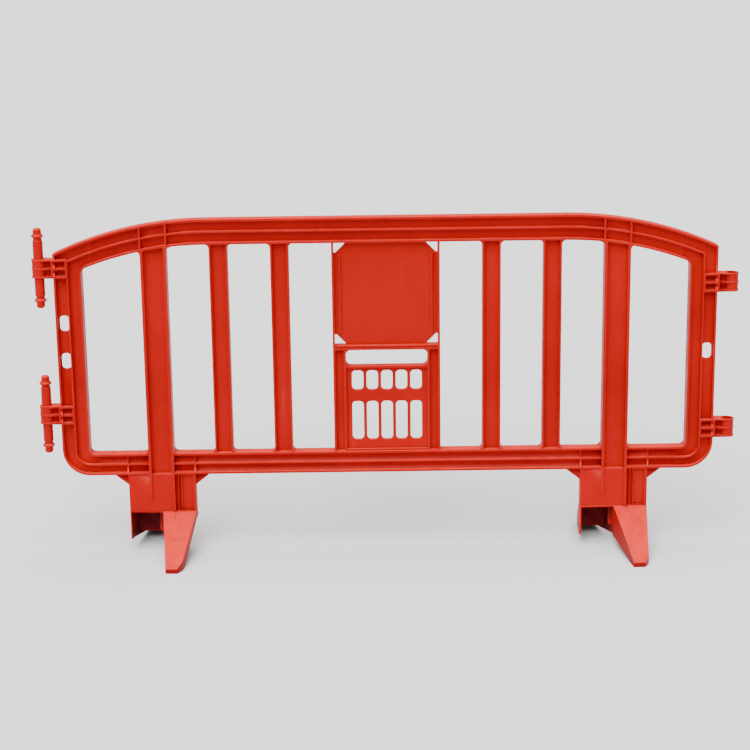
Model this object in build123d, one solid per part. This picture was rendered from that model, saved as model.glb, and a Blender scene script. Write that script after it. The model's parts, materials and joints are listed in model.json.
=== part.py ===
"""Interlocking crowd-control barrier in moulded plastic: a ribbed panel with uprights, a sign plate and a
carrying handle, hinge pins at one end, pin receivers at the other, and two feet that swivel for stacking.

Millimetres. +X runs along the panel from the hinge pins to the receivers, +Y to the back, +Z up.
The origin is on the ground, under the middle of the panel.
"""

from build123d import *
from math import sqrt
import os

# Overall sizes
panel_height = 1000.0        # ground to the top of the top rail
frame_half_length = 957.0    # middle of the panel to the outside of a stile
housing_bottom = 124.0       # ground to the underside of a foot housing

# Panel frame: rails and stiles of one ribbed section
frame_depth = 42.0           # front to back of the rails' edge flanges
top_rail_height = 73.0
bottom_rail_height = 64.0
bottom_rail_base = 239.0     # ground to the underside of the bottom rail
stile_width = 80.0
flange_thickness = 6.0
web_thickness = 5.0
middle_rib_thickness = 4.5
cross_rib_thickness = 5.0
rib_setback = 1.0            # how far the ribs stop short of the flange edges
shoulder_radius = 1040.0     # bend of the top rail beyond the posts
shoulder_length = 437.0      # from where the bend begins to the outside of a stile
outer_corner_radius = 80.0
opening_top_radius = 22.0
opening_bottom_radius = 14.0
stile_reach = 25.0           # how far a stile runs round its corners into the rails

# Uprights
post_inset = 289.0           # outside of a stile to the middle of its post and foot
post_width = 75.0
post_proud = 2.0             # how far a post's flanges stand out from the rails'
post_flange = 8.0
bar_names = ("inner", "outer")   # on each side, evenly spaced from the sign plate to the post
bar_width = 53.0
bar_depth = 38.0
bar_flange = 5.0
upright_flare = 13.0         # fillet where an upright meets a rail

# Middle panel: sign plate above, carrying handle slot, grille below
sign_half_width = 156.0
sign_base = 609.0
sign_grip_height = 13.0
sign_depth = 36.0
sign_plate_thickness = 5.0
sign_edge_strip = 21.0
sign_corner_hole = 37.0
sign_hole_radius = 3.5
side_post_width = 37.0
handle_slot_height = 49.0
handle_corner_radius = 16.0
grille_columns = 5
grille_pitch = 42.7
grille_slot_width = 33.5
grille_slot_radius = 11.0
grille_top_margin = 15.0     # above the upper row of slots
grille_upper_slot_height = 59.0
grille_row_gap = 34.0
grille_bottom_margin = 32.0  # below the lower row of slots
grille_thickness = 12.0
grille_border = 6.0
grille_border_depth = 30.0

# Hinge brackets and pins, and the receivers that take the next barrier's pins
hinge_reach = 43.0           # outside of a stile to the hinge line
bracket_height = 54.0
bracket_plate = 5.0
bracket_web = 8.0
bracket_upper_drop = 139.0   # top of the top rail to the middle of the upper hinge bracket
bracket_lower_rise = 185.0   # underside of the bottom rail to the middle of the lower hinge bracket
stacking_gap = 11.0          # under a hinge bracket, above the next barrier's receiver
pin_radius = 14.5
pin_beyond = 25.0            # how far a pin comes out of the next barrier's receiver
pin_neck_step = 2.0          # how much thinner the neck behind a barb is
pin_tip_step = 2.5           # how much thinner the tip is
barb_to_tip = 23.0
barb_catch = 2.0             # how far a barb stands out past the receiver's bore
pin_barb_land = 2.0
pin_tip_chamfer = 4.0
pin_slot = 4.0
receiver_clearance = 1.5     # round the pin in the receiver's bore
boss_wall = 5.0              # round the receiver's bore
boss_setback = 1.5
bracket_root_margin = 2.0    # how far a bracket's root is wider than its boss

# Lashing slots in the stiles
lashing_slot_width = 27.0
lashing_slot_height = 46.0
lashing_slot_radius = 11.0
left_lashing_offsets = (-57.5, 54.5)   # from half-way between the hinge brackets
right_lashing_offsets = (-51.5,)

# Foot housings under the bottom rail
housing_width = 198.0
housing_wall = 4.0
gusset_length = 47.0
gusset_drop = 37.0
gusset_thickness = 6.0
recess_depth = 7.0           # of the sunk half of each housing face
recess_rib_pitch = 10.0
recess_rib_thickness = 2.5
flange_stop = 160.0          # ground to the foot of the housing's shorter flange

# Swivelling feet
foot_half_length = 215.0
foot_wall = 4.0
foot_tip_height = 14.0
foot_tip_inner = 30.0        # tip of an arm, from the foot's middle line
foot_tip_outer = 77.0
foot_tip_bevel = 26.0
foot_toe = 18.0              # solid length at the tip of an arm
foot_rise = 36.0             # how far the walls stand clear of the ground at the foot's middle
foot_edge_height = 23.5      # the front arm's outer wall at the housing, a narrow edge
foot_edge_inset = 44.0       # where that wall reaches the ground, from the tip of the arm
foot_rib_spacing = 58.0
foot_rib_thickness = 3.0
foot_rib_base = 31.0         # ground to the underside of the cross ribs
foot_notch_width = 5.0       # small notch at the head of the sloping top
foot_notch_length = 24.0
foot_notch_depth = 2.5
foot_hub_base = 62.0         # ground to the underside of the spigot's seat
foot_turn = 2.5              # each foot stands toed out this far from square to the panel
turning_gap = 0.5            # between a housing and its foot

# Foot pivots
spigot_radius = 10.0
spigot_clearance = 0.3
bearing_wall = 4.0
bearing_head_room = 35.0     # bearing tube to the underside of the bottom rail
washer_overlap = 2.9         # how far the washer reaches over the bearing tube
washer_room = 0.8            # between the washer and the housing's walls
washer_thickness = 2.5
bolt_radius = 4.0
bolt_head_radius = 7.0
bolt_head_height = 5.0
bolt_length = 50.0

# Worked out from the above: the panel
bottom_rail_top = bottom_rail_base + bottom_rail_height
opening_half_length = frame_half_length - stile_width
rail_joint = opening_half_length - stile_reach
shoulder_start = frame_half_length - shoulder_length
post_offset = frame_half_length - post_inset
post_depth = frame_depth + 2 * post_proud
bar_count = len(bar_names)
bar_gap = (post_offset - post_width / 2 - sign_half_width - bar_count * bar_width) / (bar_count + 1)
first_bar = sign_half_width + bar_gap + bar_width / 2
bar_offsets = [first_bar + number * (bar_gap + bar_width) for number in range(bar_count)]
grille_top = sign_base - handle_slot_height
grille_upper_base = grille_top - grille_top_margin - grille_upper_slot_height
grille_rows = (
    (grille_upper_base, grille_top - grille_top_margin),
    (bottom_rail_top + grille_bottom_margin, grille_upper_base - grille_row_gap))

# The hinge ends
hinge_half_pitch = frame_half_length + hinge_reach
bracket_levels = (panel_height - bracket_upper_drop, bottom_rail_base + bracket_lower_rise)
receiver_levels = [level - bracket_height - stacking_gap for level in bracket_levels]
receiver_bore_radius = pin_radius + receiver_clearance
bracket_end_radius = receiver_bore_radius + boss_wall
bracket_depth = 2 * (bracket_end_radius + bracket_root_margin)
barb_radius = receiver_bore_radius + barb_catch
pin_neck_radius = pin_radius - pin_neck_step
pin_tip_radius = pin_radius - pin_tip_step
pin_reach = stacking_gap + bracket_height + pin_beyond   # beyond each face of its own bracket
lashing_middle = sum(bracket_levels) / len(bracket_levels)

# The feet and their pivots
bearing_radius = spigot_radius + spigot_clearance
bearing_height = bottom_rail_base - housing_bottom - bearing_head_room
washer_radius = bearing_radius + washer_overlap
housing_depth = 2 * (washer_radius + washer_room + housing_wall)
housing_half = housing_width / 2
foot_top = housing_bottom - turning_gap
foot_edge_ground = foot_half_length - foot_edge_inset
reach = 2 * (frame_half_length + panel_height)   # longer than anything in the model

# How a cylinder stands on, or hangs from, its place
upward = (Align.CENTER, Align.CENTER, Align.MIN)
downward = (Align.CENTER, Align.CENTER, Align.MAX)


def box(x_range, y_range, z_range):
    """A block between three pairs of limits."""
    sizes = [high - low for low, high in (x_range, y_range, z_range)]
    middle = [(high + low) / 2 for low, high in (x_range, y_range, z_range)]
    return Pos(*middle) * Box(*sizes)


def area(x_range, z_range):
    """A rectangle in the front view between two pairs of limits."""
    (x0, x1), (z0, z1) = x_range, z_range
    return Pos((x0 + x1) / 2, (z0 + z1) / 2) * Rectangle(x1 - x0, z1 - z0)


def slab(front_view, depth):
    """A front-view sketch made solid, half of its depth to each side of the panel's middle plane."""
    return extrude(Plane.XZ * front_view, amount=depth / 2, both=True)


def shoulder_drop(x, radius):
    """How far an arc of the top rail has fallen at x from the middle."""
    beyond = max(0.0, abs(x) - shoulder_start)
    return radius - sqrt(radius**2 - beyond**2)


def rail_underside(x):
    """Height of the top rail's lower edge at x."""
    low_edge = panel_height - top_rail_height
    return low_edge - shoulder_drop(x, shoulder_radius - top_rail_height)


def frame_outline(top_inset, side_inset, bottom_inset):
    """The panel's outline in the front view, set in from its top, ends and bottom."""
    radius = shoulder_radius - top_inset
    top = panel_height - top_inset
    side = frame_half_length - side_inset
    middle = (side + shoulder_start) / 2
    base = bottom_rail_base + bottom_inset
    right_side = [(shoulder_start, top), (middle, top - shoulder_drop(middle, radius)),
                  (side, top - shoulder_drop(side, radius))]
    left_side = [(-x, z) for x, z in reversed(right_side)]
    edges = Line(left_side[2], right_side[0]) + ThreePointArc(*right_side)
    edges += Polyline(right_side[2], (side, base), (-side, base), left_side[0])
    edges += ThreePointArc(*left_side)
    return make_face(edges)


def rounded_outline(insets, top_radius, bottom_radius):
    """A frame outline with its lower and, if asked, its upper corners rounded."""
    outline = frame_outline(*insets)
    levels = outline.vertices().group_by(Axis.Y)
    outline = fillet(levels[0], bottom_radius)
    if top_radius:
        side = frame_half_length - insets[1]
        corners = [v for v in outline.vertices() if abs(abs(v.X) - side) < 0.01]
        outline = fillet(ShapeList(corners).group_by(Axis.Y)[-1], top_radius)
    return outline


def corner_flare(x, z, x_way, z_way, radius):
    """The fillet between an upright's side at x and a rail's edge at z, in the front view."""
    square = area(sorted((x, x + x_way * radius)), sorted((z, z + z_way * radius)))
    return square - Pos(x + x_way * radius, z + z_way * radius) * Circle(radius)


def rounded_slot(x, z, width, height, radius):
    return Pos(x, z) * RectangleRounded(width, height, radius)


# ---------------------------------------------------------------- rails and stiles

panel_outline = rounded_outline((0, 0, 0), 0, outer_corner_radius)
frame_opening = rounded_outline((top_rail_height, stile_width, bottom_rail_height),
                                opening_top_radius, opening_bottom_radius)
under_top_rail = frame_outline(top_rail_height, -stile_width, -bottom_rail_height)
frame_face = panel_outline - frame_opening


def frame_recess():
    """The sunk face of the rails and stiles, inside their edge flanges."""
    t = flange_thickness
    outer = rounded_outline((t, t, t), 0, outer_corner_radius - t)
    inner = rounded_outline((top_rail_height - t, stile_width - t, bottom_rail_height - t),
                            opening_top_radius + t, opening_bottom_radius + t)
    return outer - inner


def middle_rib():
    """The rib that runs round the frame half-way between its flanges."""
    half = middle_rib_thickness / 2
    halves = (top_rail_height / 2, stile_width / 2, bottom_rail_height / 2)
    outer = rounded_outline([h - half for h in halves], 0, outer_corner_radius / 2 + half)
    inner = rounded_outline([h + half for h in halves], 0, outer_corner_radius / 2 - half)
    return outer - inner


def upright_rib(x):
    """A rib across a rail at x."""
    half = cross_rib_thickness / 2
    return area((x - half, x + half), (0, panel_height + top_rail_height))


recess_face = frame_recess()
middle_rib_face = middle_rib()
flange_face = frame_face - recess_face


def frame_piece(region, ribs):
    """One length of the frame: its edge flanges, its web, the middle rib and its cross ribs."""
    rib_depth = frame_depth - 2 * rib_setback
    piece = slab(flange_face & region, frame_depth)
    piece += slab(frame_face & region, web_thickness)
    piece += slab(middle_rib_face & region, rib_depth)
    for rib in ribs:
        piece += slab(rib & frame_face & region, rib_depth)
    return piece


def top_rail():
    region = area((-rail_joint, rail_joint), (panel_height / 2, 2 * panel_height))
    edges = (post_offset - post_width / 2, post_offset + post_width / 2)
    return frame_piece(region, [upright_rib(way * x) for x in edges for way in (-1, 1)])


def bottom_rail_middle():
    end = post_offset - post_width / 2
    region = area((-end, end), (0, panel_height / 2))
    return frame_piece(region, [upright_rib(way * (post_offset - housing_half)) for way in (-1, 1)])


def bottom_rail_end(way):
    ends = sorted((way * (post_offset + post_width / 2), way * rail_joint))
    region = area(ends, (0, panel_height / 2))
    return frame_piece(region, [upright_rib(way * (post_offset + housing_half))])


def plate_levels(middle):
    """The heights of a bracket's three plates."""
    shift = (bracket_height - bracket_plate) / 2
    return (middle - shift, middle, middle + shift)


def stile_stiffeners(way, middle):
    """Ribs that carry a bracket's plates across the outer half of a stile."""
    outside = frame_half_length
    inside = frame_half_length - stile_width / 2
    half = bracket_plate / 2
    ends = sorted((way * inside, way * outside))
    ribs = [area(ends, (z - half, z + half)) for z in plate_levels(middle)]
    closing = sorted((way * inside, way * (inside + bracket_plate)))
    ribs.append(area(closing, (middle - bracket_height / 2, middle + bracket_height / 2)))
    return ribs


def stile(way, bracket_middles, slot_offsets):
    """One end of the frame, with its lashing slots and the ribs behind its brackets."""
    region = area(sorted((way * rail_joint, way * reach)), (0, 2 * panel_height)) & panel_outline
    piece = frame_piece(region, [])
    for middle in bracket_middles:
        for rib in stile_stiffeners(way, middle):
            piece += slab(rib & region, bracket_depth)
    slot_x = way * (frame_half_length - flange_thickness / 2 - stile_width / 4)
    for offset in slot_offsets:
        slot = rounded_slot(slot_x, lashing_middle + offset, lashing_slot_width, lashing_slot_height,
                            lashing_slot_radius)
        piece -= slab(slot, frame_depth)
    return piece


# ---------------------------------------------------------------- uprights

def upright(x, width, depth, flange, base):
    """A post or bar between the rails, with flanged edges and flared ends."""
    left, right = x - width / 2, x + width / 2
    face = area((left, right), (base, panel_height))
    face = Sketch() + face + corner_flare(left, bottom_rail_top, -1, 1, upright_flare)
    face += corner_flare(right, bottom_rail_top, 1, 1, upright_flare)
    face += corner_flare(left, rail_underside(left), -1, -1, upright_flare)
    face += corner_flare(right, rail_underside(right), 1, -1, upright_flare)
    face &= under_top_rail
    sunk = area((left + flange, right - flange), (0, panel_height))
    return slab(face - sunk, depth) + slab(face, web_thickness)


def post(way):
    return upright(way * post_offset, post_width, post_depth, post_flange, bottom_rail_base)


def bar(x):
    return upright(x, bar_width, bar_depth, bar_flange, bottom_rail_top)


# ---------------------------------------------------------------- middle panel

def sign_corner(x_way, top):
    """A three-cornered hole in a corner of the sign plate."""
    x = x_way * (sign_half_width - flange_thickness)
    z = panel_height - top_rail_height if top else sign_base + sign_grip_height
    z_way = -1 if top else 1
    corner = [(x, z), (x - x_way * sign_corner_hole, z), (x, z + z_way * sign_corner_hole)]
    hole = make_face(Polyline(*corner, close=True))
    return fillet(hole.vertices(), sign_hole_radius)


def sign_plate():
    """The flat plate for a sign, with its side strips, grip and corner holes."""
    top = panel_height - top_rail_height
    inner = sign_half_width - side_post_width
    whole = area((-sign_half_width, sign_half_width), (sign_base, top))
    holes = [sign_corner(way, high) for way in (-1, 1) for high in (True, False)]
    for hole in holes:
        whole -= hole
    piece = slab(whole, sign_plate_thickness)
    grip = area((-sign_half_width, sign_half_width), (sign_base, sign_base + sign_grip_height))
    lip = area((-sign_half_width, sign_half_width), (sign_base + flange_thickness, top))
    piece += slab(grip - lip, sign_depth)
    upper_lip = sign_base + sign_grip_height - middle_rib_thickness
    upper_edge = area((-sign_half_width, sign_half_width), (upper_lip, sign_base + sign_grip_height))
    piece += slab(upper_edge, sign_depth)
    for way in (-1, 1):
        edge = sorted((way * sign_half_width, way * (sign_half_width - flange_thickness)))
        piece += slab(area(edge, (sign_base, top)), sign_depth)
        strip = sign_half_width - sign_edge_strip
        line = sorted((way * strip, way * (strip - middle_rib_thickness)))
        low_hole = sign_base + sign_grip_height + sign_corner_hole
        piece += slab(area(line, (low_hole, top - sign_corner_hole)), sign_depth / 2)
        flare = corner_flare(way * inner, sign_base, -way, -1, handle_corner_radius)
        piece += slab(flare, grille_border_depth)
    return piece


def side_post(way):
    """The short upright at one side of the grille, under the sign plate."""
    outer, inner = sign_half_width, sign_half_width - side_post_width
    z_range = (bottom_rail_top, sign_base)
    face = area(sorted((way * outer, way * inner)), z_range)
    sunk = area(sorted((way * (outer - flange_thickness), way * (inner + flange_thickness))), z_range)
    return slab(face, web_thickness) + slab(face - sunk, sign_depth)


def grille():
    """The slotted plate below the carrying handle."""
    half = sign_half_width - side_post_width
    whole = Sketch() + area((-half, half), (bottom_rail_top, grille_top))
    rim = whole - area((-half, half), (bottom_rail_top + grille_border, grille_top - grille_border))
    for way in (-1, 1):
        flare = corner_flare(way * half, grille_top, -way, 1, handle_corner_radius)
        rim += flare
        whole += flare
    for column in range(grille_columns):
        x = (column - (grille_columns - 1) / 2) * grille_pitch
        for low, high in grille_rows:
            whole -= rounded_slot(x, (low + high) / 2, grille_slot_width, high - low, grille_slot_radius)
    return slab(whole, grille_thickness) + slab(rim, grille_border_depth)


# ---------------------------------------------------------------- hinge ends

def hinge_bracket(way, middle, bore_radius):
    """Three plates and a boss that stand out from a stile and hold, or take, a hinge pin."""
    x_range = sorted((way * frame_half_length, way * hinge_half_pitch))
    half_depth = bracket_depth / 2
    end_radius = bracket_end_radius
    low = middle - bracket_height / 2
    piece = Pos(way * hinge_half_pitch, 0, middle) * Cylinder(end_radius - boss_setback, bracket_height)
    for level in plate_levels(middle):
        z_range = (level - bracket_plate / 2, level + bracket_plate / 2)
        piece += box(x_range, (-end_radius, end_radius), z_range)
        piece += Pos(way * hinge_half_pitch, 0, level) * Cylinder(end_radius, bracket_plate)
    piece += box(x_range, (-bracket_web / 2, bracket_web / 2), (low, low + bracket_height))
    root = sorted((way * frame_half_length, way * (frame_half_length + bracket_plate)))
    piece += box(root, (-half_depth, half_depth), (low, low + bracket_height))
    return piece - Pos(way * hinge_half_pitch, 0, middle) * Cylinder(bore_radius, 2 * bracket_height)


def hinge_pin(middle):
    """A pin that stands out above and below its bracket, with a barb and a split tip at each end."""
    end = bracket_height / 2 + pin_reach
    barb = end - barb_to_tip
    neck = barb - barb_to_tip / 2
    rise = barb_radius - pin_neck_radius
    land, lead = pin_barb_land, pin_tip_chamfer
    half_profile = [(0, 0), (pin_radius, 0), (pin_radius, neck - land), (pin_neck_radius, neck),
                    (pin_neck_radius, barb - rise), (barb_radius, barb - land / 2),
                    (barb_radius, barb + land / 2), (pin_tip_radius, barb + rise + land),
                    (pin_tip_radius, end - lead), (pin_tip_radius - lead, end), (0, end)]
    face = make_face(Plane.XZ * Polyline(*half_profile, close=True))
    half = revolve(face, Axis.Z)
    slot_start = neck - barb_to_tip / 2
    half -= box((-reach, reach), (-pin_slot / 2, pin_slot / 2), (slot_start, reach))
    return Pos(-hinge_half_pitch, 0, middle) * (half + mirror(half, Plane.XY))


# ---------------------------------------------------------------- feet

def housing(way):
    """The box under the bottom rail that carries a foot's pivot, with the post's lines on its faces."""
    z_range = (housing_bottom, bottom_rail_base)
    half_depth = housing_depth / 2
    wall = housing_wall
    shell = box((-housing_half, housing_half), (-half_depth, half_depth), z_range)
    inside_x = (-housing_half + wall, housing_half - wall)
    inside_y = (-half_depth + wall, half_depth - wall)
    ceiling = bottom_rail_base - wall
    shell -= box(inside_x, inside_y, (0, ceiling))
    tube = Pos(0, 0, housing_bottom) * Cylinder(bearing_radius + bearing_wall, bearing_height, align=upward)
    shell += tube & box(inside_x, (-half_depth, half_depth), z_range)
    for side in (-1, 1):
        web = sorted((side * bearing_radius, side * housing_half))
        shell += box(web, (-wall / 2, wall / 2), (housing_bottom, housing_bottom + bearing_height))
        gusset = make_face(Polyline(
            (side * housing_half, bottom_rail_base),
            (side * (housing_half + gusset_length), bottom_rail_base),
            (side * housing_half, bottom_rail_base - gusset_drop), close=True))
        shell += slab(gusset, gusset_thickness)
    shell -= Pos(0, 0, housing_bottom) * Cylinder(bearing_radius, 2 * bearing_height)
    for half_turn in (0, 180):
        turned = Rot(0, 0, half_turn)
        shell += turned * (housing_face() + recess_backing())
        shell -= turned * recess()
        shell += turned * recess_ribs()
    return Pos(way * post_offset, 0, 0) * shell


def housing_face():
    """The post's two flanges, carried down the housing's front. The left one stops short on a slant."""
    outer, inner = post_width / 2, post_width / 2 - post_flange
    right = area((inner, outer), (housing_bottom, bottom_rail_base))
    left = make_face(Polyline(
        (-outer, bottom_rail_base), (-inner, bottom_rail_base), (-inner, flange_stop),
        (-outer, flange_stop + post_flange), close=True))
    y_range = (-post_depth / 2, -housing_depth / 2)
    band = box((-housing_half, housing_half), y_range, (housing_bottom, bottom_rail_base))
    return slab(right + left, post_depth) & band


def recess_limits(margin):
    """The sunk right half of the housing's front: its limits across and upwards, let out by a margin."""
    x_range = (post_width / 2 - margin, housing_half - post_flange + margin)
    z_range = (housing_bottom + housing_wall - margin, bottom_rail_base - housing_wall + margin)
    return x_range, z_range


def recess():
    x_range, z_range = recess_limits(0)
    return box(x_range, (-housing_depth / 2, -housing_depth / 2 + recess_depth), z_range)


def recess_backing():
    """The floor and the sides of the sunk half, behind the housing's front wall."""
    x_range, z_range = recess_limits(housing_wall)
    return box(x_range, (-housing_depth / 2, -housing_depth / 2 + recess_depth + housing_wall), z_range)


def recess_ribs():
    """Two upright ribs that stand in the sunk half."""
    z_range = recess_limits(0)[1]
    ribs = Part()
    for step in (1, 2):
        x = post_width / 2 + step * recess_rib_pitch
        half = recess_rib_thickness / 2
        ribs += box((x - half, x + half), (-housing_depth / 2, -housing_depth / 2 + recess_depth), z_range)
    return ribs


def arm_outline(wall, toe, bend):
    """Plan of a foot's front arm, set in by a wall and, at its tip, a toe. Its inner side leaves at bend."""
    half_depth = housing_depth / 2
    tip = -foot_half_length + toe
    corners = [(wall / 2, half_depth), (wall / 2, bend), (foot_tip_inner + wall, tip),
               (foot_tip_outer - foot_tip_bevel / 2 - wall, tip),
               (foot_tip_outer - wall, tip + foot_tip_bevel),
               (housing_half - wall, -half_depth), (housing_half - wall, half_depth)]
    return make_face(Polyline(*corners, close=True))


def across_foot(corners):
    """A side view, given by its corners, made solid right across the foot."""
    side_view = make_face(Plane.YZ * Polyline(*corners, close=True))
    return extrude(side_view, amount=reach, both=True)


def under_slope(drop, base):
    """The space under an arm's flat and sloping top, lowered by drop, and above a base."""
    half_depth = housing_depth / 2
    return across_foot([
        (half_depth, base), (half_depth, foot_top - drop), (-half_depth, foot_top - drop),
        (-foot_half_length, foot_tip_height - drop), (-foot_half_length, base)])


def underside_cut():
    """The space under an arm's walls, which rise from the toe on the ground to the foot's middle."""
    half_depth = housing_depth / 2
    return across_foot([(-foot_half_length + foot_toe, 0), (half_depth, foot_rise), (half_depth, 0)])


def outer_wall_cut():
    """What is taken from under the front arm's outer wall and ribs, clear of its inner wall."""
    half_depth = housing_depth / 2
    level = foot_top - foot_edge_height
    below_edge = across_foot([
        (-foot_edge_ground, 0), (-half_depth, level), (half_depth, level), (half_depth, 0)])
    tip = -foot_half_length + foot_toe
    plan = make_face(Polyline(
        (foot_wall / 2, half_depth), (foot_wall / 2, 0), (foot_tip_inner + foot_wall, tip),
        (reach, tip), (reach, half_depth), close=True))
    return below_edge & extrude(plan, amount=foot_top)


def top_notch():
    """A small notch in the head of the sloping top, in line with the edge of the post above."""
    start = -housing_depth / 2
    x_range = (post_width / 2, post_width / 2 + foot_notch_width)
    strip = box(x_range, (start - foot_notch_length, start), (0, foot_top))
    return strip - under_slope(foot_notch_depth, 0)


def foot_arm():
    """One arm of a foot, towards the front: an open shell with a sloping top, a solid toe and cross ribs."""
    whole = extrude(arm_outline(0, 0, -housing_depth / 2), amount=foot_top)
    whole &= under_slope(0, 0)
    inside = Pos(0, 0, -foot_wall) * extrude(arm_outline(foot_wall, foot_toe, 0), amount=2 * foot_top)
    inside &= under_slope(foot_wall, -foot_wall)
    shell = whole - inside - underside_cut() - top_notch()
    for step in (1, 2):
        y = -housing_depth / 2 - step * foot_rib_spacing
        across = (y, y + foot_rib_thickness)
        shell += whole & box((0, housing_half), across, (foot_rib_base, foot_top - foot_wall))
    return shell


def foot_shell(way):
    """A whole foot: two arms turned half round from each other, and the seat of its spigot."""
    arm = foot_arm()
    front_arm = arm - outer_wall_cut()
    hub = Pos(0, 0, foot_hub_base) * Cylinder(
        spigot_radius + foot_wall, foot_top - foot_hub_base, align=upward)
    shell = front_arm + Rot(0, 0, 180) * arm + hub
    shell -= Pos(0, 0, foot_hub_base + foot_wall) * Cylinder(spigot_radius, foot_top, align=upward)
    return Pos(way * post_offset, 0, 0) * Rot(0, 0, way * foot_turn) * shell


def foot_spigot(way):
    """The upright stub that the housing turns on, seated in the foot."""
    seat = foot_hub_base + foot_wall
    top = housing_bottom + bearing_height + turning_gap
    stub = Pos(0, 0, seat) * Cylinder(spigot_radius, top - seat, align=upward)
    stub -= Pos(0, 0, top) * Cylinder(bolt_radius, bolt_length, align=downward)
    return Pos(way * post_offset, 0, 0) * stub


def retaining_washer(way):
    """The washer over the bearing tube that keeps the foot on when the barrier is lifted."""
    base = housing_bottom + bearing_height + turning_gap
    ring = Cylinder(washer_radius, washer_thickness) - Cylinder(bolt_radius, washer_thickness)
    return Pos(way * post_offset, 0, base + washer_thickness / 2) * ring


def pivot_bolt(way):
    """The screw that holds the washer on the spigot."""
    seat = housing_bottom + bearing_height + turning_gap + washer_thickness
    shank_length = bolt_length + washer_thickness
    shank = Cylinder(bolt_radius, shank_length, align=downward)
    head = Cylinder(bolt_head_radius, bolt_head_height, align=upward)
    return Pos(way * post_offset, 0, seat) * (shank + head)


# ---------------------------------------------------------------- all the pieces

def all_pieces():
    """Every sub-part by name."""
    pieces = {
        "top_rail": top_rail(),
        "bottom_rail_middle": bottom_rail_middle(),
        "bottom_rail_left": bottom_rail_end(-1),
        "bottom_rail_right": bottom_rail_end(1),
        "left_stile": stile(-1, bracket_levels, left_lashing_offsets),
        "right_stile": stile(1, receiver_levels, right_lashing_offsets),
        "sign_plate": sign_plate(),
        "left_side_post": side_post(-1),
        "right_side_post": side_post(1),
        "grille": grille(),
    }
    for level, bracket, receiver in zip(("upper", "lower"), bracket_levels, receiver_levels):
        pieces[f"{level}_hinge_bracket"] = hinge_bracket(-1, bracket, pin_radius)
        pieces[f"{level}_hinge_pin"] = hinge_pin(bracket)
        pieces[f"{level}_receiver"] = hinge_bracket(1, receiver, receiver_bore_radius)
    for side, way in (("left", -1), ("right", 1)):
        pieces[f"{side}_post"] = post(way)
        for place, offset in zip(bar_names, bar_offsets):
            pieces[f"{place}_{side}_bar"] = bar(way * offset)
        pieces[f"{side}_foot_housing"] = housing(way)
        pieces[f"{side}_foot_shell"] = foot_shell(way)
        pieces[f"{side}_foot_spigot"] = foot_spigot(way)
        pieces[f"{side}_retaining_washer"] = retaining_washer(way)
        pieces[f"{side}_pivot_bolt"] = pivot_bolt(way)
    return pieces


os.makedirs("parts", exist_ok=True)
for name, piece in all_pieces().items():
    export_step(piece, f"parts/{name}.step")
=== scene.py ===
# %% [markdown]
# # An interlocking crowd barrier in moulded plastic
#
# The real object is a two-metre panel of orange-red plastic: a ribbed frame, six uprights, a sign plate and a
# carrying handle over a slotted grille. Hinge pins stand at one end and receivers at the other, so that
# barriers link in a row, and two hollow feet turn under their housings so that barriers stack flat.
#
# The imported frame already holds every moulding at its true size. This lesson gives each one soft moulded
# edges and a finish, and lights the barrier in a studio.

import bmesh
import bpy
import json
from math import radians
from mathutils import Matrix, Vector
from mathutils.bvhtree import BVHTree


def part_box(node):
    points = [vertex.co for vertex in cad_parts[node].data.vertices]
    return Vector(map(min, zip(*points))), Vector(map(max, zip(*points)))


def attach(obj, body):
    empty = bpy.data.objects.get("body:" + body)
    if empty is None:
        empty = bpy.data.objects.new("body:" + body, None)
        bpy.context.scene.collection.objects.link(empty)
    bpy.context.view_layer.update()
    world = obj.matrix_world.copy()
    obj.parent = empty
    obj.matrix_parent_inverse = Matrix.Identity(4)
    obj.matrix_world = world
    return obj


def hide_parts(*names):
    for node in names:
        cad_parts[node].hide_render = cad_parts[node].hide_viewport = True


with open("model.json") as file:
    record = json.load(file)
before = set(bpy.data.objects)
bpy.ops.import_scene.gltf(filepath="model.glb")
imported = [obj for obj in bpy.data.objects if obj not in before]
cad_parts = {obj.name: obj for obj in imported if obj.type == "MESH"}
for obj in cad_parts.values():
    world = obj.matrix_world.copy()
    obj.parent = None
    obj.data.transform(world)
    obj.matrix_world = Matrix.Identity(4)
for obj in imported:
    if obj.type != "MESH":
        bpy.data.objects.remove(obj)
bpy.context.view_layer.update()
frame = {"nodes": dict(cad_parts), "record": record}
nodes = frame["nodes"]
bodies = frame["record"]["behaviour"]["bodies"]
body_of_node = {name: body for body, names in bodies.items() for name in names}

# %% [markdown]
# ## The camera
#
# A barrier is best seen from standing height, a little above the top rail, and from far enough away that
# its uprights stay nearly parallel. A long lens does that. The camera is rolled by a fraction of a degree,
# as a hand-held one is, so the right-hand end of the barrier stands slightly higher.

# %% Place the camera
camera_place = Vector((-0.0345, -5.5, 1.969))
camera_looks_down = radians(14.67)
camera_roll = radians(-0.76)
upright = radians(90)
lens_mm = 93.2
sensor_mm = 36

bpy.ops.object.camera_add(location=camera_place, rotation=(upright - camera_looks_down, 0, 0))
camera = bpy.context.object
camera.rotation_euler.rotate_axis("Z", camera_roll)
camera.data.lens = lens_mm
camera.data.sensor_width = sensor_mm
bpy.context.scene.camera = camera
print("camera at", tuple(camera.location), "lens", camera.data.lens)

# %% [markdown]
# ## A small kit for node materials
#
# Every finish here is built from the same few nodes: noise for cloudiness, a Bevel node that finds edges, an
# Ambient Occlusion node that finds hollows, a range to sharpen a mask, and a bump. Short helpers keep each
# material readable. All patterns are read in Object coordinates, because each piece's place is in its mesh,
# so a pattern runs on from one moulding to the next as it does in one batch of plastic.

# %% Helpers that add nodes
mask_samples = 6
upward_range = (0.35, 0.95)


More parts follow.
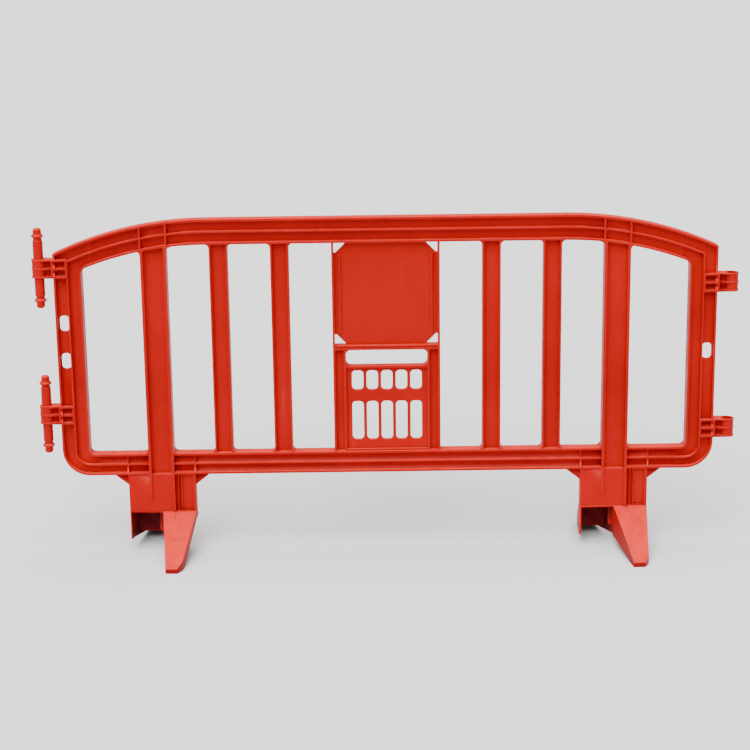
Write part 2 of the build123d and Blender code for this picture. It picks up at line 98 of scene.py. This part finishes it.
class Finish:
    """A material under construction, with its shader and its coordinates ready."""

    def __init__(self, name, roughness, specular):
        self.material = bpy.data.materials.new(name)
        self.material.use_nodes = True
        self.tree = self.material.node_tree
        self.shader = self.tree.nodes["Principled BSDF"]
        self.shader.inputs["Roughness"].default_value = roughness
        self.shader.inputs["Specular IOR Level"].default_value = specular
        self.place = self.add("ShaderNodeTexCoord").outputs["Object"]

    def add(self, kind, **settings):
        node = self.tree.nodes.new(kind)
        for name, value in settings.items():
            setattr(node, name, value)
        return node

    def join(self, source, target):
        self.tree.links.new(source, target)

    def stretched(self, scale):
        """The coordinates stretched by a scale along each axis, for streaks."""
        node = self.add("ShaderNodeMapping")
        node.inputs["Scale"].default_value = scale
        self.join(self.place, node.inputs["Vector"])
        return node.outputs["Vector"]

    def noise(self, scale, detail=3.0, roughness=0.5, vector=None):
        node = self.add("ShaderNodeTexNoise")
        node.inputs["Scale"].default_value = scale
        node.inputs["Detail"].default_value = detail
        node.inputs["Roughness"].default_value = roughness
        self.join(vector or self.place, node.inputs["Vector"])
        return node.outputs["Fac"]

    def ramp(self, value, low, high, from_value=0.0, to_value=1.0):
        """A value spread out between two limits."""
        node = self.add("ShaderNodeMapRange", clamp=True)
        node.inputs["From Min"].default_value = low
        node.inputs["From Max"].default_value = high
        node.inputs["To Min"].default_value = from_value
        node.inputs["To Max"].default_value = to_value
        self.join(value, node.inputs["Value"])
        return node.outputs["Result"]

    def maths(self, operation, a, b):
        node = self.add("ShaderNodeMath", operation=operation)
        for socket, value in zip(node.inputs, (a, b)):
            if isinstance(value, (int, float)):
                socket.default_value = value
            else:
                self.join(value, socket)
        return node.outputs["Value"]

    def mix(self, share, first, second):
        """One colour over another. Either may be a colour or the output of a node."""
        node = self.add("ShaderNodeMix", data_type="RGBA")
        self.join(share, node.inputs["Factor"])
        for socket, value in ((node.inputs[6], first), (node.inputs[7], second)):
            if isinstance(value, tuple):
                socket.default_value = (*value, 1)
            else:
                self.join(value, socket)
        return node.outputs[2]

    def edges(self, radius, low, high):
        """A mask that is 1 along convex and concave edges and 0 on open faces."""
        rounded = self.add("ShaderNodeBevel", samples=mask_samples)
        rounded.inputs["Radius"].default_value = radius
        flat = self.add("ShaderNodeNewGeometry")
        dot = self.add("ShaderNodeVectorMath", operation="DOT_PRODUCT")
        self.join(rounded.outputs["Normal"], dot.inputs[0])
        self.join(flat.outputs["Normal"], dot.inputs[1])
        return self.ramp(dot.outputs["Value"], high, low)

    def cavities(self, reach, share, low, high):
        """A mask that is its full share deep in a hollow and 0 on open faces."""
        shade = self.add("ShaderNodeAmbientOcclusion", samples=mask_samples)
        shade.inputs["Distance"].default_value = reach
        return self.maths("MULTIPLY", self.ramp(shade.outputs["AO"], high, low), share)

    def looks_up(self):
        """A mask that is 1 on level faces that look up and 0 on upright ones."""
        facing = self.add("ShaderNodeNewGeometry")
        parts = self.add("ShaderNodeSeparateXYZ")
        self.join(facing.outputs["Normal"], parts.inputs["Vector"])
        return self.ramp(parts.outputs["Z"], *upward_range)

    def bump(self, layers):
        """Bumps laid over each other, each a height, how far it stands out in metres, and a strength."""
        normal = None
        for height, distance, strength in layers:
            node = self.add("ShaderNodeBump")
            node.inputs["Distance"].default_value = distance
            node.inputs["Strength"].default_value = strength
            self.join(height, node.inputs["Height"])
            if normal:
                self.join(normal, node.inputs["Normal"])
            normal = node.outputs["Normal"]
        self.join(normal, self.shader.inputs["Normal"])


# %% [markdown]
# ## The moulded plastic
#
# The barrier is one pigmented polyolefin all through, so the real barrier carries no paint. What makes it
# look
# real is small: the pigment clouds where the melt flowed, the fine spark-eroded grain of the mould breaks
# the shine up, edges rub smoother and paler, with a painted highlight added to that paler colour, and
# faces that get handled pick up pale scuffs. Upper faces fade in the sun and are also painted lighter as
# if lit from above, and hollows are painted darker as shade. The changes between clouds are soft, because
# sharp ones would read as dirt.

# %% Make the moulded plastic
deep_red = (0.340, 0.0008, 0.0008)
warm_red = (0.425, 0.0022, 0.0012)
# Paler red on edges: partly wear, partly a painted highlight.
worn_highlight_red = (0.720, 0.0340, 0.0220)
scuff_red = (0.520, 0.0420, 0.0330)
# Darker red in hollows: painted shade.
painted_hollow_shade_red = (0.230, 0.0006, 0.0010)
# Lighter red on upper faces: partly fading in the sun, partly painted light from above.
faded_and_lit_red = (0.800, 0.0460, 0.0320)
# Near-black red deep in wide hollows: a painted shadow, inside the feet and under the bottom rail.
painted_shadow_dark = (0.030, 0.0010, 0.0028)
plastic_specular = 0.08

cloud_scale = 3.1
cloud_range = (0.34, 0.66)
flow_scale = 9.0
flow_stretch = (0.35, 1.0, 2.2)
flow_range = (0.50, 0.75)
flow_share = 0.35

# The hollow mask that paints shade in recesses.
cavity_reach = 0.020
cavity_share = 0.30
cavity_range = (0.25, 0.60)
# The wider mask's range, for the painted shadow inside the feet and housings.
painted_shadow_range = (0.30, 0.72)

# The edge mask, which paints the paler edge colour: partly wear, partly a painted highlight.
edge_reach = 0.0020
edge_range = (0.88, 0.99)
rubbed_scale = 34.0
rubbed_range = (0.36, 0.62)
rubbed_and_highlit_shares = (0.20, 0.80)

scratch_scale = 55.0
scratch_stretch = (1.0, 1.0, 0.06)
scratch_range = (0.64, 0.72)
patch_scale = 5.5
patch_range = (0.50, 0.62)
scuff_share = 0.22

# The upper-face mask paints a lighter colour: partly fading in the sun, partly painted light from above.
faded_and_lit_range = (0.30, 0.70)
faded_and_lit_shares = (0.55, 0.95)

shine_scale = 14.0
shine_range = (0.3, 0.7)
shine_below = 0.05
shine_above = 0.08
worn_polish = 0.10
bleached_dulling = 0.06

swell_scale = 6.0
swell_height = 0.0012
swell_strength = 0.25
grain_scale = 620.0
grain_height = 0.00012
grain_strength = 0.30
scuff_depth = 0.00015
scuff_strength = 0.35


def clouded_pigment(finish, first, second):
    """Two tones of the pigment in soft clouds, drawn out along the panel where the melt flowed."""
    clouds = finish.ramp(finish.noise(cloud_scale, detail=4.0, roughness=0.55), *cloud_range)
    base = finish.mix(clouds, first, second)
    flow = finish.noise(flow_scale, detail=5.0, roughness=0.6, vector=finish.stretched(flow_stretch))
    return finish.mix(finish.ramp(flow, *flow_range, 0.0, flow_share), base, second)


def scuffs(finish):
    """A mask of long upright scratches that come in patches."""
    scratches = finish.noise(scratch_scale, detail=2.0, vector=finish.stretched(scratch_stretch))
    patches = finish.noise(patch_scale, detail=2.0)
    scratched = finish.ramp(scratches, *scratch_range)
    handled = finish.ramp(patches, *patch_range)
    return finish.maths("MULTIPLY", scratched, handled)


def moulded_plastic(name, first, second, roughness, painted_shadow_reach=0.0, painted_shadow_share=0.0):
    """A pigmented plastic with flow marks, mould grain, rubbed edges, scuffs and upper faces faded by the
    sun.

    Painted light and shade go over it: a highlight on the edges, a lighter colour on upper faces, a darker
    one in hollows, and, if its share is given, a dark painted shadow in hollows narrower than its reach.
    """
    finish = Finish(name, roughness, plastic_specular)
    base = clouded_pigment(finish, first, second)
    # Painted shade: a darker red in hollows.
    base = finish.mix(finish.cavities(cavity_reach, cavity_share, *cavity_range), base, painted_hollow_shade_red)
    if painted_shadow_share:
        # Painted shadow: a near-black red in hollows within its reach.
        base = finish.mix(finish.cavities(painted_shadow_reach, painted_shadow_share, *painted_shadow_range), base, painted_shadow_dark)

    rubbed = finish.noise(rubbed_scale, detail=4.0, roughness=0.65)
    edge = finish.edges(edge_reach, *edge_range)
    worn_and_highlit = finish.maths("MULTIPLY", edge, finish.ramp(rubbed, *rubbed_range, *rubbed_and_highlit_shares))
    # Paler edges: partly wear, partly a painted highlight.
    base = finish.mix(worn_and_highlit, base, worn_highlight_red)
    scuffed = scuffs(finish)
    base = finish.mix(finish.maths("MULTIPLY", scuffed, scuff_share), base, scuff_red)
    sunlit = finish.ramp(rubbed, *faded_and_lit_range, *faded_and_lit_shares)
    faded_and_lit = finish.maths("MULTIPLY", finish.looks_up(), sunlit)
    # Lighter upper faces: partly fading in the sun, partly painted light from above.
    base = finish.mix(faded_and_lit, base, faded_and_lit_red)
    finish.join(base, finish.shader.inputs["Base Color"])

    dull = finish.noise(shine_scale, detail=4.0, roughness=0.6)
    shine = finish.ramp(dull, *shine_range, roughness - shine_below, roughness + shine_above)
    shine = finish.maths("SUBTRACT", shine, finish.maths("MULTIPLY", worn_and_highlit, worn_polish))
    shine = finish.maths("ADD", shine, finish.maths("MULTIPLY", faded_and_lit, bleached_dulling))
    finish.join(shine, finish.shader.inputs["Roughness"])
    finish.bump([
        (finish.noise(swell_scale, detail=2.0), swell_height, swell_strength),
        (finish.noise(grain_scale, detail=2.0, roughness=0.6), grain_height, grain_strength),
        (scuffed, -scuff_depth, scuff_strength),
    ])
    return finish.material


panel_roughness = 0.40
panel_plastic = moulded_plastic("panel_plastic", deep_red, warm_red, panel_roughness)
print("made", panel_plastic.name, "with", len(panel_plastic.node_tree.nodes), "nodes")

# %% [markdown]
# ## The sign plate's plastic
#
# The sign plate has a smoother face, so that a printed sheet lies flat on it. It is the same pigment and
# the same recipe, a shade more orange where the thin plate lets light in, and a little shinier.

# %% Make the sign plate's plastic
sign_first = (0.345, 0.0020, 0.0008)
sign_second = (0.400, 0.0034, 0.0012)
sign_roughness = 0.36
sign_plastic = moulded_plastic("sign_plastic", sign_first, sign_second, sign_roughness)
print("made", sign_plastic.name)

# %% [markdown]
# ## The feet's and the housings' plastic
#
# The feet are hollow and open underneath, and they are pushed about on roads. Their insides are painted
# with a dark shadow, by the same recipe with a second and wider hollow mask. Under the bottom rail the
# housings get a little of that painted shadow too.

# %% Make the feet's and the housings' plastic
# The wider painted shadow: its reach and share for the feet and for the housings.
foot_finish = {"roughness": 0.44, "painted_shadow_reach": 0.110, "painted_shadow_share": 0.96}
housing_finish = {"roughness": 0.42, "painted_shadow_reach": 0.050, "painted_shadow_share": 0.45}
foot_plastic = moulded_plastic("foot_plastic", deep_red, warm_red, **foot_finish)
housing_plastic = moulded_plastic("housing_plastic", deep_red, warm_red, **housing_finish)
print("made", foot_plastic.name, "and", housing_plastic.name)

# %% [markdown]
# ## Zinc-plated steel
#
# The washer and the screw of each foot pivot are plated steel: a metal with a faint warm cast in patches,
# and a fine noise drawn out along the upright in its roughness and bump. That is enough at this size.

# %% Make the zinc-plated steel
zinc_light = (0.62, 0.61, 0.56)
zinc_dark = (0.42, 0.43, 0.42)
zinc_roughness = 0.30
zinc_specular = 0.5
cast_scale = 240.0
cast_range = (0.35, 0.65)
brushed_scale = 900.0
brushed_stretch = (1.0, 1.0, 0.1)
brushed_range = (0.3, 0.7)
brushed_roughness = (0.22, 0.42)
brushed_height = 0.00005
brushed_strength = 0.4


def plated_steel():
    """A metal with a patchy cast and a drawn-out fine grain."""
    finish = Finish("zinc_plate", zinc_roughness, zinc_specular)
    finish.shader.inputs["Metallic"].default_value = 1.0
    cast = finish.ramp(finish.noise(cast_scale, detail=3.0, roughness=0.6), *cast_range)
    finish.join(finish.mix(cast, zinc_dark, zinc_light), finish.shader.inputs["Base Color"])
    brushed = finish.noise(brushed_scale, detail=2.0, vector=finish.stretched(brushed_stretch))
    shine = finish.ramp(brushed, *brushed_range, *brushed_roughness)
    finish.join(shine, finish.shader.inputs["Roughness"])
    finish.bump([(brushed, brushed_height, brushed_strength)])
    return finish.material


zinc_plate = plated_steel()
print("made", zinc_plate.name)

# %% [markdown]
# ## Soft moulded edges
#
# No moulding has a knife edge: the tool is cut with small radii, and plastic shrinks away from corners. A
# shading trick would round the edges only in a render, so here each moulding gets true ones. A copy of the
# node is merged and its flat faces dissolved, then a Bevel modifier rounds every sharp edge that stands out.
# Inner corners stay crisp, because on the real mould they are the tool's own sharp outer edges.
#
# Edges where two pieces of the panel butt together stay sharp too, so that the panel closes up into the one
# moulding that it is. The housings' ladder-shaped faces are cut into triangles first, because a rounding can
# fold a face that has holes. The radius is small for the same reason: a wider one folds the long faces over
# the ribs' shallow set-backs. Even so, a few faces still overlap themselves, the two flat sides of the sign
# plate most, within their own plane. A Weighted Normal modifier keeps the large faces level in the shading,
# so only the roundings curve. The copy stands for the node, which stays with the physics.

# %% Round a moulding's edges
edge_radius = 0.00045
steel_edge_radius = 0.0004
edge_segments = 2
sharp_angle = radians(32)
flat_angle = radians(0.6)
smooth_angle = radians(60)
merge_distance = 0.00005
contact_gap = 0.0001
edge_shares = (0.25, 0.5, 0.75)


def only_select(piece):
    """Selects one object alone and makes it the active one."""
    bpy.ops.object.select_all(action="DESELECT")
    piece.select_set(True)
    bpy.context.view_layer.objects.active = piece


def surface_of(mesh):
    """A tree of a mesh's faces, in which the nearest point is quick to find."""
    return BVHTree.FromPolygons([v.co for v in mesh.vertices], [f.vertices for f in mesh.polygons])


surfaces = {name: surface_of(item.data) for name, item in nodes.items()}


def meets_neighbour(edge, node):
    """Whether an edge lies on other pieces' surfaces all along, so that it is no edge of the moulding."""
    start, end = (vertex.co for vertex in edge.verts)
    others = [tree for name, tree in surfaces.items() if name != node]
    for share in edge_shares:
        point = start.lerp(end, share)
        if all(tree.find_nearest(point, contact_gap)[0] is None for tree in others):
            return False
    return True


def outer_edge_weights(mesh, node):
    """A weight for each edge: 1 where a sharp edge stands out of the moulding, 0 on all others."""
    shape = bmesh.new()
    shape.from_mesh(mesh)
    weights = []
    for edge in shape.edges:
        stands_out = edge.is_convex and edge.calc_face_angle(0) > sharp_angle
        weights.append(float(stands_out and not meets_neighbour(edge, node)))
    shape.free()
    return weights


def softened(node, radius):
    """A copy of a node with merged vertices, whole faces and rounded edges."""
    source = nodes[node]
    piece = bpy.data.objects.new(node + "_moulding", source.data.copy())
    bpy.context.collection.objects.link(piece)
    piece.data.materials.clear()
    only_select(piece)
    bpy.ops.object.mode_set(mode="EDIT")
    bpy.ops.mesh.select_all(action="SELECT")
    bpy.ops.mesh.remove_doubles(threshold=merge_distance)
    bpy.ops.mesh.dissolve_limited(angle_limit=flat_angle)
    if "housing" in node:
        bpy.ops.mesh.quads_convert_to_tris()
    bpy.ops.object.mode_set(mode="OBJECT")
    weights = piece.data.attributes.new("bevel_weight_edge", "FLOAT", "EDGE")
    weights.data.foreach_set("value", outer_edge_weights(piece.data, node))
    bevel = piece.modifiers.new("soft_edges", "BEVEL")
    bevel.width = radius
    bevel.segments = edge_segments
    bevel.limit_method = "WEIGHT"
    bevel.use_clamp_overlap = False
    bpy.ops.object.modifier_apply(modifier=bevel.name)
    bpy.ops.object.shade_smooth_by_angle(angle=smooth_angle)
    level = piece.modifiers.new("level_faces", "WEIGHTED_NORMAL")
    level.keep_sharp = True
    bpy.ops.object.modifier_apply(modifier=level.name)
    return piece


# %% [markdown]
# ## Every moulding in its finish
#
# The steel parts, the sign plate, the feet and the housings have finishes of their own, and all the rest of
# the panel shares one. Each softened copy rides with its node's body and takes the node's place.

# %% Finish every moulding
steel_nodes = [name for name in nodes if "washer" in name or "bolt" in name]
sign_nodes = ["sign_plate"]
foot_nodes = [name for name in nodes if "foot_shell" in name or "foot_spigot" in name]
housing_nodes = [name for name in nodes if "foot_housing" in name]


def finish_of(node):
    """The material of a node, and a slot name that nothing here uses."""
    if node in steel_nodes:
        return zinc_plate, "zinc_hardware"
    if node in sign_nodes:
        return sign_plastic, "sign_face"
    if node in foot_nodes:
        return foot_plastic, "moulded_plastic"
    if node in housing_nodes:
        return housing_plastic, "moulded_plastic"
    return panel_plastic, "moulded_plastic"


for node in sorted(nodes):
    material, slot = finish_of(node)
    piece = softened(node, steel_edge_radius if node in steel_nodes else edge_radius)
    piece.data.materials.append(material)
    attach(piece, body_of_node[node])
    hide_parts(node)
    low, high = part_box(node)
    print(node, len(piece.data.polygons), "faces", [round(v, 3) for v in high - low])

# %% [markdown]
# ## The studio
#
# The barrier stands on a plain pale floor that fills the view from the camera. Only a view from lower down
# sees where it ends. The light is soft, from two very wide suns, one nearly overhead and one from the front,
# as under a bright cloudy sky: the ribs' upper faces and the sloping feet glow, and the recesses under them
# stay deep. A white world fills the shadows and gives the plastic something soft to reflect.

# %% Lay the floor
floor_half_width = 60.0
floor_thickness = 0.05
paper_dark = (0.790, 0.790, 0.787)
paper_light = (0.810, 0.810, 0.807)
paper_scale = 0.8
paper_range = (0.3, 0.7)
paper_roughness = 0.9
paper_specular = 0.1


def studio_floor():
    """A wide slab whose top face is the ground."""
    bpy.ops.object.select_all(action="DESELECT")
    bpy.ops.mesh.primitive_plane_add(size=2 * floor_half_width)
    floor = bpy.context.object
    floor.name = "studio_floor"
    bpy.ops.object.mode_set(mode="EDIT")
    bpy.ops.mesh.select_all(action="SELECT")
    bpy.ops.mesh.extrude_region_move(TRANSFORM_OT_translate={"value": (0, 0, -floor_thickness)})
    bpy.ops.mesh.select_all(action="SELECT")
    bpy.ops.mesh.normals_make_consistent(inside=False)
    bpy.ops.object.mode_set(mode="OBJECT")
    return floor


floor = studio_floor()
paper = Finish("studio_paper", paper_roughness, paper_specular)
paper_clouds = paper.ramp(paper.noise(paper_scale, detail=2.0), *paper_range)
paper_tone = paper.mix(paper_clouds, paper_dark, paper_light)
paper.join(paper_tone, paper.shader.inputs["Base Color"])
floor.data.materials.append(paper.material)
print("floor reaches", floor_half_width, "m each way")

# %% [markdown]
# ## The light
#
# A sun lights every part of the barrier alike, and a wide one casts soft shadows. The overhead one comes a
# few degrees from the front, and the front one stands half-way up. Both are turned a little to one side.
# Between them upright faces get about half the light that level ones do.

# %% Hang the lights
lamp_height = 4
overhead_sky = {"tilt": radians(5), "turn": radians(-20), "strength": 3.8, "spread": radians(60)}
front_sky = {"tilt": radians(46), "turn": radians(-14), "strength": 3.8, "spread": radians(40)}
world_white = (1.0, 1.0, 1.0, 1)
world_strength = 0.35


def wide_sun(name, tilt, turn, strength, spread):
    """A sun that is spread over a wide disc, tilted from overhead and turned about the upright."""
    bpy.ops.object.light_add(type="SUN", location=(0, 0, lamp_height), rotation=(tilt, 0, turn))
    lamp = bpy.context.object
    lamp.name = name
    lamp.data.energy = strength
    lamp.data.angle = spread


wide_sun("overhead_sky", **overhead_sky)
wide_sun("front_sky", **front_sky)

world = bpy.context.scene.world or bpy.data.worlds.new("studio")
bpy.context.scene.world = world
world.use_nodes = True
background = world.node_tree.nodes["Background"]
background.inputs["Color"].default_value = world_white
background.inputs["Strength"].default_value = world_strength
